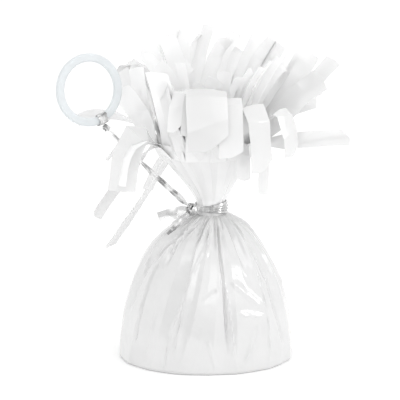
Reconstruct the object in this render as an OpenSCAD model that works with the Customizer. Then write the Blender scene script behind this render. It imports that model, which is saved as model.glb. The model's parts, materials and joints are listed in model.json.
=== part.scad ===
// Balloon weight: a domed weight wrapped in pearly film. The film is tied at the neck with foil
// ribbon, flares into a bouquet of cut strips, and the ribbon leads on to a plastic ring.
// The origin is the centre of the base face, with Z up and the front towards -Y.

/* [Body] */
// Diameter of the wrapped base
base_d = 70.4; // [56:0.2:84]
// Height at which the body's oval outline would close
dome_h = 60; // [50:1:72]
// Rounding of the wrapped bottom edge
base_edge_r = 1.2; // [0.6:0.1:2]
// Height of the main creases on the body
body_crease = 0.8; // [0.2:0.1:0.9]

/* [Film] */
// Thickness of the film solids
film_t = 0.4; // [0.3:0.05:0.5]
// Number of pleats drawn together above the neck
pleats = 13; // [9:1:17]
// Depth of the pleats at the bouquet's rim
rim_pleat = 0.8; // [0.3:0.1:1.1]

/* [Inside] */
// Space between the film's outside and the side of the dome
dome_gap = 1.9; // [1.8:0.1:2.4]
// Space between the film's outline and the top of the dome's own outline
dome_top_gap = 3; // [2.6:0.1:6]
// How far the dome's flat top lies below the top of its own oval outline
cup_top_drop = 5; // [3:0.5:17]
// Wall of the moulded dome
cup_wall = 1; // [0.8:0.1:1.6]
// Thickness of the card disc under the dome
card_t = 1.2; // [0.8:0.1:2]
// Height of the cast fill
fill_h = 21; // [10:1:30]

/* [Neck] */
// Outer radius of the film drawn in at the neck
neck_r = 5.8; // [5:0.1:7]
// Distance that the neck leans to the right
neck_lean = 2; // [0:0.1:3]
// Width of the ribbon wound round the neck
band_w = 5.2; // [4:0.1:7]
// Thickness of the wound ribbon
band_t = 0.6; // [0.4:0.1:1]
// Radius of the knot at the neck
knot_r = 2.4; // [1.8:0.1:3]
// Direction of the knot round the neck, from +X
knot_az = 215; // [205:1:225]

/* [Bouquet] */
// Height of the outer sheet's rim above the ribbon round the neck
outer_rim_rise = 23.6; // [18:0.2:28]
// Radius of the outer sheet's rim
outer_rim_r = 21.5; // [19:0.5:24]
// Height of the inner sheet's rim above the ribbon round the neck
inner_rim_rise = 26.6; // [21:0.2:30]
// Radius of the inner sheet's rim
inner_rim_r = 15; // [13:0.5:17]
// Reach that the strips' shapes are measured by
fringe_l = 40; // [30:1:50]
// Width of the strips cut in the outer sheet
outer_strip_w = 6.8; // [5:0.1:7]
// Width of the strips cut in the inner sheet
inner_strip_w = 5.6; // [4:0.1:5.8]
// Thickness of a strip
strip_t = 0.3; // [0.2:0.05:0.4]
// Height of the arch across a strip
strip_arch = 0.5; // [0:0.1:0.8]

/* [Ribbon] */
// Length of the lead from knot to knot
lead_l = 50.2; // [44:0.2:58]
// Rise of the lead above level
lead_rise = 44.6; // [35:0.2:50]
// Direction of the lead seen from above, from +X
lead_az = 197.7; // [190:0.1:205]
// Width of the twisted lead
lead_w = 2.4; // [1.6:0.1:3]
// Thickness of the twisted lead
lead_t = 0.6; // [0.4:0.1:1]
// Half turns of twist along the lead
lead_half_turns = 5; // [0:1:8]
// How far the lead's middle hangs below the straight line between its knots
lead_sag = 0.6; // [0:0.1:2]
// Width of the wide tail
wide_tail_w = 4.6; // [3:0.1:5.4]
// Width of the narrow tail
narrow_tail_w = 1.8; // [1:0.1:2.4]
// Thickness of the tails
tail_t = 0.4; // [0.3:0.05:0.6]
// Length by which the tails' shapes are measured
tail_l = 14; // [10:0.5:18]

/* [Ring] */
// Outer diameter of the ring
ring_d = 29; // [24:0.5:34]
// Width of the ring's band
ring_band_w = 3.3; // [2.4:0.1:4]
// Thickness of the ring
ring_t = 2.4; // [1.8:0.1:3]
// Rounding of the ring's edges
ring_edge_r = 0.8; // [0.3:0.1:0.9]
// Turn of the ring about the upright
ring_turn = 30; // [15:1:40]
// Tilt of the ring's long axis to the left
ring_tilt = 13; // [0:1:20]
// Place of the ribbon loop round the ring, from straight down
loop_place = 12; // [0:1:20]
// Width of the ribbon loop along the ring
loop_w = 4.6; // [3:0.1:6]
// Thickness of the ribbon loop
loop_t = 0.5; // [0.4:0.1:0.8]
// Radius of the small knot under the ring
loop_knot_r = 1.7; // [1.2:0.1:2.2]

/* [Clearances] */
// Gap between pieces that lie against each other
fit = 0.1; // [0.05:0.05:0.2]
// Gap between soft pieces and what they pass
soft_gap = 0.3; // [0.2:0.05:0.5]

/* [Hidden] */
$fn = 96;
base_r = base_d / 2;
steps_per_pleat = 4;
shell_steps = steps_per_pleat * pleats;
body_rings = 9;
dome_rings = 18;
funnel_rings = 7;
strip_rings = 9;
lead_rings = 26;

// The oval outline meets the neck at this angle of the oval
neck_angle = acos(neck_r / base_r);
body_top_z = dome_h * sin(neck_angle);
band_z = body_top_z + fit;
band_top_z = band_z + band_w;
outer_rim_z = band_top_z + outer_rim_rise;
inner_rim_z = band_top_z + inner_rim_rise;
collar_top_z = band_z + band_w / 2;
gather_r = neck_r - film_t - soft_gap;
gather_top_z = band_top_z + fit;
band_r = neck_r + soft_gap;
band_out_r = band_r + band_t;
cup_a = base_r - dome_gap;
cup_b = dome_h - dome_top_gap;
cup_h = cup_b - cup_top_drop;
gather_bottom_z = cup_h + soft_gap;
cup_floor_z = film_t + fit;
inside_a = cup_a - cup_wall;
inside_b = cup_b - cup_wall;

knot_reach = band_out_r + soft_gap + knot_r;
knot_at = [neck_lean + knot_reach * cos(knot_az), knot_reach * sin(knot_az), collar_top_z];
lead_dir = [
    cos(lead_rise) * cos(lead_az),
    cos(lead_rise) * sin(lead_az),
    sin(lead_rise)
];
loop_knot_at = knot_at + lead_l * lead_dir;
ring_mid_r = (ring_d - ring_band_w) / 2;
loop_bore_w = ring_band_w + 2 * soft_gap;
loop_bore_t = ring_t + 2 * soft_gap;
loop_knot_reach = ring_mid_r + loop_bore_w / 2 + loop_t + loop_knot_r;
loop_angle = 2 * asin(loop_w / (2 * ring_mid_r));

// The main creases of the film on the body. Each lies between two flat panels. What carries each is
// its direction at the neck and its direction at the base, both from +X. Then its height is a share
// of body_crease: a ridge is above 0, and a valley is below it.
crease_shares = [
    [3, 6, 0.7], [20, 24, -0.8], [38, 40, 0.6], [55, 57, -0.9], [72, 73, 0.8],
    [90, 91, -0.7], [108, 107, 0.9], [125, 124, -0.8], [142, 140, 0.7], [158, 157, -0.9],
    [174, 172, 0.6], [192, 186, 0.5], [214, 197, -0.9], [226, 206, 0.6], [236, 216, -1.0],
    [250, 229, 0.5], [262, 238, -0.6], [277, 248, 1.0], [280, 259, -0.3], [284, 271, -0.7],
    [288, 283, -1.0], [294, 290, 0.8], [303, 303, -0.5], [315, 317, 0.9], [328, 331, -0.7],
    [343, 346, 0.6]
];

// Places of the fringe strips round the outer rim: what carries each strip is its direction from
// +X. Then its middle and its tip lie [outwards, to its side, upwards] from its root, as shares
// of fringe_l, and it is turned about its own length by the last angle.
outer_strip_shares = [
    [0, [0.33, 0.03, 0.38], [0.73, 0.05, 0.83], 60],
    [20, [0.30, -0.03, 0.28], [0.64, -0.05, 0.49], 40],
    [40, [0.33, -0.13, 0.20], [0.65, -0.33, 0.33], 30],
    [60, [0.30, -0.05, 0.30], [0.60, -0.10, 0.25], -15],
    [80, [0.25, -0.05, 0.40], [0.50, -0.08, 0.40], 20],
    [100, [0.35, 0.05, 0.15], [0.65, 0.10, -0.20], 0],
    [120, [0.16, 0.20, -0.50], [0.26, 0.69, -1.18], -35],
    [140, [0.12, 0.19, 0.73], [0.26, 0.38, 0.63], 10],
    [160, [0.38, 0.17, 0.25], [0.70, 0.37, 0.20], 45],
    [180, [0.09, 0.08, 0.40], [0.14, 0.10, 0.78], 65],
    [200, [0.20, -0.11, -0.24], [0.53, -0.28, -0.76], 60],
    [220, [0.30, -0.08, 0.05], [0.45, -0.10, -0.35], 10],
    [240, [0.13, -0.05, 0.45], [0.15, -0.11, 0.78], -20],
    [260, [0.13, 0.00, 0.60], [0.28, -0.03, 0.19], 0],
    [280, [0.13, 0.03, 0.33], [0.23, 0.05, 0.08], 0],
    [300, [0.15, 0.00, 0.05], [0.16, 0.01, -0.28], 0],
    [320, [0.15, 0.02, 0.03], [0.16, 0.03, -0.46], 0],
    [340, [0.44, 0.13, 0.06], [0.88, 0.27, 0.09], 80]
];
// Places of the fringe strips round the inner rim, in the same way
inner_strip_shares = [
    [12, [0.30, 0.00, 0.48], [0.53, 0.05, 0.78], 60],
    [36, [0.23, -0.05, 0.50], [0.36, -0.25, 0.88], 40],
    [60, [0.10, -0.10, 0.50], [0.18, -0.28, 0.95], 20],
    [84, [0.05, -0.10, 0.53], [0.05, -0.25, 0.98], 10],
    [108, [0.00, -0.03, 0.55], [-0.10, -0.13, 1.08], 10],
    [132, [0.03, 0.03, 0.55], [-0.05, 0.06, 1.05], 40],
    [156, [-0.03, 0.02, 0.53], [0.05, 0.03, 1.00], 12],
    [180, [-0.03, 0.05, 0.50], [0.10, 0.05, 0.95], 15],
    [204, [0.05, -0.03, 0.50], [0.23, -0.13, 0.85], 65],
    [228, [0.05, 0.00, 0.35], [0.15, -0.08, 0.63], 0],
    [252, [0.03, 0.05, 0.35], [0.10, 0.08, 0.60], 0],
    [276, [0.06, 0.04, 0.33], [0.15, 0.03, 0.55], 0],
    [300, [0.05, 0.03, 0.38], [0.18, 0.07, 0.65], 0],
    [324, [0.08, 0.00, 0.40], [0.23, 0.08, 0.73], 0],
    [348, [0.15, 0.00, 0.45], [0.35, 0.03, 0.80], 40]
];
outer_strip_names = [for (i = [1:len(outer_strip_shares)]) str("outer_strip_", i)];
inner_strip_names = [for (i = [1:len(inner_strip_shares)]) str("inner_strip_", i)];

// The tails leave the knot in a first direction. Then their middle and tip are shares of tail_l
// from the knot, and they turn about their length by the last angle.
wide_tail_shares = [[-0.42, -0.80, -0.02], [-0.42, -0.40, -0.02], [-0.95, -0.56, -0.15], 15];
narrow_tail_shares = [[-0.30, -0.92, -0.25], [-0.30, -0.46, -0.25], [-0.68, -0.58, -0.64], 60];

// The part of a strip's length over which it turns, and its width at the tip
strip_turn_share = 0.45;
strip_tip_share = 0.98;
// Share of the body's outline below which it stands upright
lean_share = 0.6;
// Share of the body's outline from which its creases run out into the neck
crease_end_share = 0.8;
// How soon a crease leaves its direction at the base on its way up: 1 is evenly
crease_bend = 0.6;
// How far a funnel opens at once: 1 is a straight cone
funnel_flare = 1.15;
// How high the creases stand at the base, as a share of body_crease
base_crease_share = 0.4;
// Two waves make the funnels' pleats uneven: what each adds, then the second's missing pleats and its turn
pleat_wave_shares = [0.7, 0.3];
pleats_missing = 6;
pleat_wave_turn = 40;
// How far a cut runs past what it cuts
overrun = 1;

// Vectors
function unit(v) = v / norm(v);
function across(v, axis) = unit(v - (v * axis) * axis);
function turned(v, axis, angle) = v * cos(angle) + cross(axis, v) * sin(angle);
function eased(s) = s * s * (3 - 2 * s);

// Height of a funnel's pleats at a direction round the neck, from -1 to 1
function pleat(az) =
    pleat_wave_shares[0] * sin(pleats * az)
    + pleat_wave_shares[1] * sin((pleats - pleats_missing) * az + pleat_wave_turn);

// A curve through a root, a middle and a tip
function bow(root, middle, tip, s) =
    let (pull = 2 * middle - (root + tip) / 2)
    (1 - s) * (1 - s) * root + 2 * s * (1 - s) * pull + s * s * tip;
function bow_way(root, middle, tip, s) =
    let (pull = 2 * middle - (root + tip) / 2)
    unit((1 - s) * (pull - root) + s * (tip - pull));

// Triangles between two neighbouring rings of n points that start at a and b
function band_faces(a, b, n) = [
    for (j = [0:n - 1])
        let (k = (j + 1) % n)
        each [[a + j, b + k, a + k], [a + j, b + j, b + k]]
];
// The same over an inside, cut along the same diagonals as the outside that it lies behind
function back_faces(a, b, n) = [
    for (j = [0:n - 1])
        let (k = (j + 1) % n)
        each [[a + j, b + j, a + k], [b + j, b + k, a + k]]
];
// The same for thin sections. The first half of their n points is the back, and the second half is
// the front and runs the other way, so both are cut along the same diagonals and stay apart.
function skin_faces(a, b, n) = [
    for (j = [0:n - 1])
        let (k = (j + 1) % n)
        each j < n / 2
            ? [[a + j, b + k, a + k], [a + j, b + j, b + k]]
            : [[a + j, b + j, a + k], [b + j, b + k, a + k]]
];
// Triangles over the first or last thin section of n points that starts at a
function cap_faces(a, n, last) = [
    for (j = [0:n / 2 - 2])
        let (p = a + j, q = a + j + 1, r = a + n - 2 - j, s = a + n - 1 - j)
        each last ? [[p, r, q], [p, s, r]] : [[p, q, r], [p, r, s]]
];

// A thin strip swept through sections of points, each with as many points
module swept(sections) {
    n = len(sections[0]);
    m = len(sections);
    polyhedron(
        points = [for (section = sections) each section],
        faces = [
            for (i = [0:m - 2]) each skin_faces(i * n, (i + 1) * n, n),
            each cap_faces(0, n, false),
            each cap_faces((m - 1) * n, n, true)
        ]
    );
}

// A tube of film between an outside and an inside, each as rings from its foot to its top
module film_tube(outside, inside) {
    m = len(outside);
    n = len(outside[0]);
    rings = concat(outside, [for (i = [m - 1:-1:0]) inside[i]]);
    count = len(rings);
    polyhedron(
        points = [for (ring = rings) each ring],
        faces = [
            for (i = [0:count - 1])
                let (a = i * n, b = ((i + 1) % count) * n)
                each i < m ? band_faces(a, b, n) : back_faces(a, b, n)
        ]
    );
}

// Points round a level, which is [lean, height, radius, depth of its pleats or creases]
function pleated_ring(level) = [
    for (j = [0:shell_steps - 1])
        let (az = 360 * j / shell_steps, r = level[2] + level[3] * pleat(az))
        [level[0] + r * cos(az), r * sin(az), level[1]]
];
// The same with a corner at each of the body's creases, at a share of the way up it
function creased_ring(level, rise) = [
    for (row = crease_shares)
        let (
            az = row[1] + (row[0] - row[1]) * pow(rise, crease_bend),
            r = level[2] + level[3] * row[2]
        )
        [level[0] + r * cos(az), r * sin(az), level[1]]
];

// Outline of the body: angle a of the oval, drawn in by a depth
function body_level(a, depth) =
    let (
        face = unit([cos(a) / base_r, sin(a) / dome_h]),
        rise = a / neck_angle,
        fold = body_crease * (base_crease_share + (1 - base_crease_share) * sin(180 * rise))
    )
    [
        neck_lean * eased(max(0, rise - lean_share) / (1 - lean_share)),
        max(base_edge_r, dome_h * sin(a)) - depth * face[1],
        base_r * cos(a) - depth * face[0],
        fold * (1 - eased(max(0, rise - crease_end_share) / (1 - crease_end_share)))
    ];

// Rings of the body's outline, drawn in by a depth
function body_ring(i, depth) =
    let (rise = i / body_rings)
    creased_ring(body_level(neck_angle * rise, depth), rise);

// The ring in which the film turns under the base, drawn in by a depth
function base_ring(depth) =
    creased_ring([0, 0, base_r - base_edge_r - depth, body_level(0, 0)[3]], 0);

module wrap_body() {
    inner_foot = body_level(0, film_t);
    color("ghostwhite")
        film_tube(
            concat(
                [base_ring(0)],
                [for (i = [0:body_rings]) body_ring(i, 0)],
                [creased_ring([neck_lean, collar_top_z, neck_r, 0], 1)]
            ),
            concat(
                [base_ring(film_t)],
                [creased_ring([0, film_t + base_edge_r, inner_foot[2], inner_foot[3]], 0)],
                [for (i = [1:body_rings]) body_ring(i, film_t)],
                [creased_ring([neck_lean, collar_top_z, neck_r - film_t, 0], 1)]
            )
        );
}

module wrap_base() {
    color("ghostwhite")
        linear_extrude(film_t)
            polygon([for (corner = base_ring(film_t + fit)) [corner[0], corner[1]]]);
}

module neck_gather() {
    height = gather_top_z - gather_bottom_z;
    color("gainsboro")
        translate([neck_lean, 0, gather_bottom_z])
            linear_extrude(height)
                polygon([
                    for (j = [0:shell_steps - 1])
                        let (az = 360 * j / shell_steps, r = gather_r - film_t + film_t * pleat(az))
                        [r * cos(az), r * sin(az)]
                ]);
}

// Outline of the dome: radius of the oval a by b at height z
function oval_r(a, b, z) = a * sqrt(1 - (z / b) * (z / b));
function oval_outline(a, b, low, high) = [
    for (i = [0:dome_rings])
        let (z = low + (high - low) * i / dome_rings)
        [oval_r(a, b, z), z]
];

module weight_cup() {
    color("whitesmoke")
        rotate_extrude()
            difference() {
                polygon(concat(
                    [[0, cup_floor_z]],
                    oval_outline(cup_a, cup_b, cup_floor_z, cup_h),
                    [[0, cup_h]]
                ));
                polygon(concat(
                    [[0, -cup_wall]],
                    [[inside_a, -cup_wall]],
                    oval_outline(inside_a, inside_b, 0, cup_h - cup_wall),
                    [[0, cup_h - cup_wall]]
                ));
            }
}

module base_disc() {
    color("tan")
        translate([0, 0, cup_floor_z])
            cylinder(r = oval_r(inside_a, inside_b, cup_floor_z + card_t) - fit, h = card_t);
}

module weight_fill() {
    low = cup_floor_z + card_t + fit;
    color("darkgray")
        rotate_extrude()
            polygon(concat(
                [[0, low]],
                oval_outline(inside_a - fit, inside_b, low, low + fill_h),
                [[0, low + fill_h]]
            ));
}

// Rings of a funnel of film from the neck to its rim, drawn in by a depth
function funnel_rings_of(low_z, low_r, rim_z, rim_r, depth) = [
    for (i = [0:funnel_rings])
        let (s = i / funnel_rings)
        pleated_ring([
            neck_lean * (1 - eased(s)),
            low_z + (rim_z - low_z) * s,
            low_r + (rim_r - low_r) * pow(s, funnel_flare) - depth,
            rim_pleat * s
        ])
];

module outer_funnel() {
    foot_z = collar_top_z + fit;
    color("ghostwhite")
        film_tube(
            concat(
                [pleated_ring([neck_lean, foot_z, neck_r, 0])],
                funnel_rings_of(band_top_z, neck_r, outer_rim_z, outer_rim_r, 0)
            ),
            concat(
                [pleated_ring([neck_lean, foot_z, neck_r - film_t, 0])],
                funnel_rings_of(band_top_z, neck_r, outer_rim_z, outer_rim_r, film_t)
            )
        );
}

module inner_funnel() {
    low_z = gather_top_z + fit;
    low_r = gather_r - film_t;
    color("white")
        film_tube(
            funnel_rings_of(low_z, low_r, inner_rim_z, inner_rim_r, 0),
            funnel_rings_of(low_z, low_r, inner_rim_z, inner_rim_r, film_t)
        );
}

// One section of a strip: a shallow arch across, with its back and front faces
function strip_section(at, wide, face, width, thick, arch) = [
    at - wide * width / 2 - face * thick / 2,
    at + face * (arch - thick / 2),
    at + wide * width / 2 - face * thick / 2,
    at + wide * width / 2 + face * thick / 2,
    at + face * (arch + thick / 2),
    at - wide * width / 2 + face * thick / 2
];

module fringe_strip(row, rim_z, rim_r, width) {
    out = [cos(row[0]), sin(row[0]), 0];
    side = [-sin(row[0]), cos(row[0]), 0];
    up = [0, 0, 1];
    root = out * (rim_r + rim_pleat) + up * (rim_z + soft_gap + strip_t / 2);
    middle = root + fringe_l * (row[1][0] * out + row[1][1] * side + row[1][2] * up);
    tip = root + fringe_l * (row[2][0] * out + row[2][1] * side + row[2][2] * up);
    swept([
        for (i = [0:strip_rings - 1])
            let (
                s = i / (strip_rings - 1),
                way = bow_way(root, middle, tip, s),
                turn = row[3] * eased(min(1, s / strip_turn_share)),
                wide = turned(across(side, way), way, turn),
                face = cross(way, wide),
                taper = 1 - (1 - strip_tip_share) * s
            )
            strip_section(bow(root, middle, tip, s), wide, face, width * taper, strip_t,
                strip_arch * eased(min(1, s / strip_turn_share)))
    ]);
}

module outer_strip(i) {
    color("ghostwhite")
        fringe_strip(outer_strip_shares[i], outer_rim_z, outer_rim_r, outer_strip_w);
}

module inner_strip(i) {
    color("white")
        fringe_strip(inner_strip_shares[i], inner_rim_z, inner_rim_r, inner_strip_w);
}

module neck_band() {
    color("silver")
        translate([neck_lean, 0, band_z])
            difference() {
                cylinder(r = band_out_r, h = band_w);
                translate([0, 0, -overrun])
                    cylinder(r = band_r, h = band_w + 2 * overrun);
            }
}

module neck_knot() {
    color("silver")
        translate(knot_at)
            sphere(r = knot_r);
}

// A flat ribbon from a root through a middle to a tip, turned about its length
module ribbon(root, middle, tip, width, thick, turns, count) {
    swept([
        for (i = [0:count - 1])
            let (
                s = i / (count - 1),
                way = bow_way(root, middle, tip, s),
                wide = turned(across([0, 0, 1], way), way, turns * s),
                face = cross(way, wide),
                at = bow(root, middle, tip, s)
            )
            [
                at - wide * width / 2 - face * thick / 2,
                at + wide * width / 2 - face * thick / 2,
                at + wide * width / 2 + face * thick / 2,
                at - wide * width / 2 + face * thick / 2
            ]
    ]);
}

module ribbon_lead() {
    root = knot_at + (knot_r + soft_gap) * lead_dir;
    tip = loop_knot_at - (loop_knot_r + soft_gap) * lead_dir;
    middle = (root + tip) / 2 - [0, 0, lead_sag];
    color("silver")
        ribbon(root, middle, tip, lead_w, lead_t, 180 * lead_half_turns, lead_rings);
}

module tail(row, width) {
    root = knot_at + (knot_r + soft_gap) * unit(row[0]);
    color("silver")
        ribbon(root, knot_at + tail_l * row[1], knot_at + tail_l * row[2], width, tail_t,
            row[3], strip_rings);
}

module wide_tail() {
    tail(wide_tail_shares, wide_tail_w);
}

module narrow_tail() {
    tail(narrow_tail_shares, narrow_tail_w);
}

// The ring's own frame: its axis along Z here, and the ribbon loop straight down from its centre
module on_ring() {
    translate(loop_knot_at)
        rotate([0, -ring_tilt, 0])
            rotate([0, 0, ring_turn])
                rotate([0, -loop_place, 0])
                    translate([0, 0, loop_knot_reach])
                        rotate([90, 0, 0])
                            rotate([0, 0, -90])
                                children();
}

module ring() {
    round_w = ring_band_w - 2 * ring_edge_r;
    round_t = ring_t - 2 * ring_edge_r;
    color("lavender")
        on_ring()
            rotate_extrude()
                translate([ring_mid_r, 0])
                    union() {
                        square([ring_band_w, round_t], center = true);
                        square([round_w, ring_t], center = true);
                        for (x = [-round_w / 2, round_w / 2], y = [-round_t / 2, round_t / 2])
                            translate([x, y])
                                circle(r = ring_edge_r);
                    }
}

module ring_loop() {
    color("silver")
        on_ring()
            rotate([0, 0, -loop_angle / 2])
                rotate_extrude(angle = loop_angle)
                    translate([ring_mid_r, 0])
                        difference() {
                            square([loop_bore_w + 2 * loop_t, loop_bore_t + 2 * loop_t], center = true);
                            square([loop_bore_w, loop_bore_t], center = true);
                        }
}

module ring_knot() {
    color("silver")
        translate(loop_knot_at)
            sphere(r = loop_knot_r);
}

weight_fill();
weight_cup();
base_disc();
wrap_base();
wrap_body();
neck_gather();
outer_funnel();
inner_funnel();
for (i = [0:len(outer_strip_shares) - 1])
    outer_strip(i);
for (i = [0:len(inner_strip_shares) - 1])
    inner_strip(i);
neck_band();
neck_knot();
wide_tail();
narrow_tail();
ribbon_lead();
ring_loop();
ring_knot();
ring();
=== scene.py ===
import json
import math
import random

import bpy
import numpy as np
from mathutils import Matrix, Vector


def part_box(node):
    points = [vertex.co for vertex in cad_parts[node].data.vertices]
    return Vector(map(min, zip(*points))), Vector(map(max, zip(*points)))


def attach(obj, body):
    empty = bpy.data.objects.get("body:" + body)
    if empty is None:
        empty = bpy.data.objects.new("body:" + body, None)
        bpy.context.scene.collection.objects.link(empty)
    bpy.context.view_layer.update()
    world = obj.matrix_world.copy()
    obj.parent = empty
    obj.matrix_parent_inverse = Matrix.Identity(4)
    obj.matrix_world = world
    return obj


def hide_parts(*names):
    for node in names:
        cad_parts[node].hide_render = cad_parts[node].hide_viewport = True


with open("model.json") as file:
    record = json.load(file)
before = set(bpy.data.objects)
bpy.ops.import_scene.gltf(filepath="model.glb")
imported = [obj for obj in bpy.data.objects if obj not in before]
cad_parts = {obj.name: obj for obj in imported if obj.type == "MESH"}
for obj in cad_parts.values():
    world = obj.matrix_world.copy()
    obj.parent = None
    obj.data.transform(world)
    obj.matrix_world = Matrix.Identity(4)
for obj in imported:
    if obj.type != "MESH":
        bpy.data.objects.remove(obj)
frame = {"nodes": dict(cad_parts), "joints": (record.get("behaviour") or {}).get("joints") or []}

bl_info = {
    "name": "Balloon weight",
    "version": (1, 0, 0),
    "blender": (4, 5, 0),
    "location": "3D View > Sidebar > Balloon weight",
    "description": "Wraps the packed balloon weight in pearly film, foil ribbon and a fringed bouquet",
    "category": "Object",
}

MM = 0.001
JOINTS = {joint["name"]: joint for joint in frame["joints"]}
UP = np.array([0.0, 0.0, 1.0])

# The places that move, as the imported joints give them
NECK_KNOT = np.array(JOINTS["lead_swing"]["pos_m"])
LOOP_KNOT = np.array(JOINTS["loop_swing"]["pos_m"])
RING_CENTRE = np.array(JOINTS["ring_spin"]["pos_m"])
RING_AXIS = np.array(JOINTS["ring_spin"]["axis"])

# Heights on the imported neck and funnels
BAND_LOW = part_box("neck_band")[0].z
BAND_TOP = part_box("neck_band")[1].z
NECK_MID = (BAND_LOW + BAND_TOP) / 2
OUTER_RIM = BAND_TOP + 23.6 * MM
INNER_RIM = BAND_TOP + 26.6 * MM

# The cut strips, as the part's own source places them: direction from +X, then the middle and the
# tip [outwards, to the side, upwards] as shares of the fringe's reach, then the turn
OUTER_STRIPS = [
    (0, (0.33, 0.03, 0.38), (0.73, 0.05, 0.83), 60),
    (20, (0.30, -0.03, 0.28), (0.64, -0.05, 0.49), 40),
    (40, (0.33, -0.13, 0.20), (0.65, -0.33, 0.33), 30),
    (60, (0.30, -0.05, 0.30), (0.60, -0.10, 0.25), -15),
    (80, (0.25, -0.05, 0.40), (0.50, -0.08, 0.40), 20),
    (100, (0.35, 0.05, 0.15), (0.65, 0.10, -0.20), 0),
    (120, (0.16, 0.20, -0.50), (0.26, 0.69, -1.18), -35),
    (140, (0.12, 0.19, 0.73), (0.26, 0.38, 0.63), 10),
    (160, (0.38, 0.17, 0.25), (0.70, 0.37, 0.20), 45),
    (180, (0.09, 0.08, 0.40), (0.14, 0.10, 0.78), 65),
    (200, (0.20, -0.11, -0.24), (0.53, -0.28, -0.76), 60),
    (220, (0.30, -0.08, 0.05), (0.45, -0.10, -0.35), 10),
    (240, (0.13, -0.05, 0.45), (0.15, -0.11, 0.78), -20),
    (260, (0.13, 0.00, 0.60), (0.28, -0.03, 0.19), 0),
    (280, (0.13, 0.03, 0.33), (0.23, 0.05, 0.08), 0),
    (300, (0.15, 0.00, 0.05), (0.16, 0.01, -0.28), 0),
    (320, (0.15, 0.02, 0.03), (0.16, 0.03, -0.46), 0),
    (340, (0.44, 0.13, 0.06), (0.88, 0.27, 0.09), 80),
]
INNER_STRIPS = [
    (12, (0.30, 0.00, 0.48), (0.53, 0.05, 0.78), 60),
    (36, (0.23, -0.05, 0.50), (0.36, -0.25, 0.88), 40),
    (60, (0.10, -0.10, 0.50), (0.18, -0.28, 0.95), 20),
    (84, (0.05, -0.10, 0.53), (0.05, -0.25, 0.98), 10),
    (108, (0.00, -0.03, 0.55), (-0.10, -0.13, 1.08), 10),
    (132, (0.03, 0.03, 0.55), (-0.05, 0.06, 1.05), 40),
    (156, (-0.03, 0.02, 0.53), (0.05, 0.03, 1.00), 12),
    (180, (-0.03, 0.05, 0.50), (0.10, 0.05, 0.95), 15),
    (204, (0.05, -0.03, 0.50), (0.23, -0.13, 0.85), 65),
    (228, (0.05, 0.00, 0.35), (0.15, -0.08, 0.63), 0),
    (252, (0.03, 0.05, 0.35), (0.10, 0.08, 0.60), 0),
    (276, (0.06, 0.04, 0.33), (0.15, 0.03, 0.55), 0),
    (300, (0.05, 0.03, 0.38), (0.18, 0.07, 0.65), 0),
    (324, (0.08, 0.00, 0.40), (0.23, 0.08, 0.73), 0),
    (348, (0.15, 0.00, 0.45), (0.35, 0.03, 0.80), 40),
]

# Strips of each sheet's second ply that the photograph shows, by the table's strip before them:
# middle and tip [outwards, to the side, upwards] as shares of the reach, then the width as a share
# and the turn
OUTER_PLY_SHAPES = {
    0: ((0.30, 0.00, 0.50), (0.52, 0.05, 0.88), 1.40, 80),
    7: ((0.15, 0.05, 0.48), (0.26, 0.10, 0.78), 1.10, 60),
    8: ((0.15, 0.00, 0.40), (0.32, 0.05, 0.70), 1.20, 65),
    9: ((0.18, 0.00, 0.34), (0.34, 0.00, 0.56), 1.30, 65),
    10: ((0.27, 0.00, 0.14), (0.42, 0.00, -0.42), 1.70, -45),
    11: ((0.12, 0.02, 0.42), (0.25, 0.03, 0.80), 1.50, 10),
    12: ((0.11, 0.00, 0.62), (0.26, -0.02, 0.22), 1.15, 5),
    13: ((0.18, 0.00, 0.64), (0.37, 0.02, 0.06), 2.40, -3),
    14: ((0.18, -0.02, 0.54), (0.30, -0.05, -0.02), 1.55, 0),
    15: ((0.23, -0.02, 0.46), (0.36, -0.04, -0.18), 1.50, 5),
    16: ((0.30, 0.00, 0.38), (0.44, 0.00, -0.06), 1.30, 10),
    17: ((0.32, 0.05, 0.40), (0.62, 0.10, 0.66), 1.35, 85),
}
INNER_PLY_SHAPES = {
    5: ((-0.05, 0.00, 0.52), (-0.05, 0.00, 1.05), 1.50, -50),
    6: ((-0.15, 0.00, 0.55), (0.27, 0.00, 0.88), 1.70, -75),
    7: ((-0.10, 0.00, 0.52), (0.05, 0.00, 1.02), 1.50, 75),
    8: ((0.02, 0.00, 0.40), (0.20, -0.05, 0.74), 1.60, 50),
}

# Outer strips by their place in the table, and the share of their colour: painted shade
# below 1 on strips that stand in the lamps' full light, painted light above 1 on strips in shade
STRIP_PAINTED_SHADING = {
    0: 0.94, 8: 1.04, 9: 1.12, 10: 0.95, 11: 1.14, 12: 1.06, 13: 0.87, 14: 0.95, 15: 0.89,
    16: 0.89, 17: 0.84,
}

# The wrap's main creases, as the part's own source places them: direction at the neck, direction at
# the base, then height as a share of the pleats' depth, a ridge above 0 and a valley below
WRAP_CREASES = [
    (3, 6, 0.7), (20, 24, -0.8), (38, 40, 0.6), (55, 57, -0.9), (72, 73, 0.8), (90, 91, -0.7),
    (108, 107, 0.9), (125, 124, -0.8), (142, 140, 0.7), (158, 157, -0.9), (174, 172, 0.6),
    (192, 186, 0.5), (214, 197, -0.9), (226, 206, 0.6), (236, 216, -1.0), (250, 229, 0.5),
    (262, 238, -0.6), (277, 248, 1.0), (280, 259, -0.3), (284, 271, -0.7), (288, 283, -1.0),
    (294, 290, 0.8), (303, 303, -0.5), (315, 317, 0.9), (328, 331, -0.7), (343, 346, 0.6),
]

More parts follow.
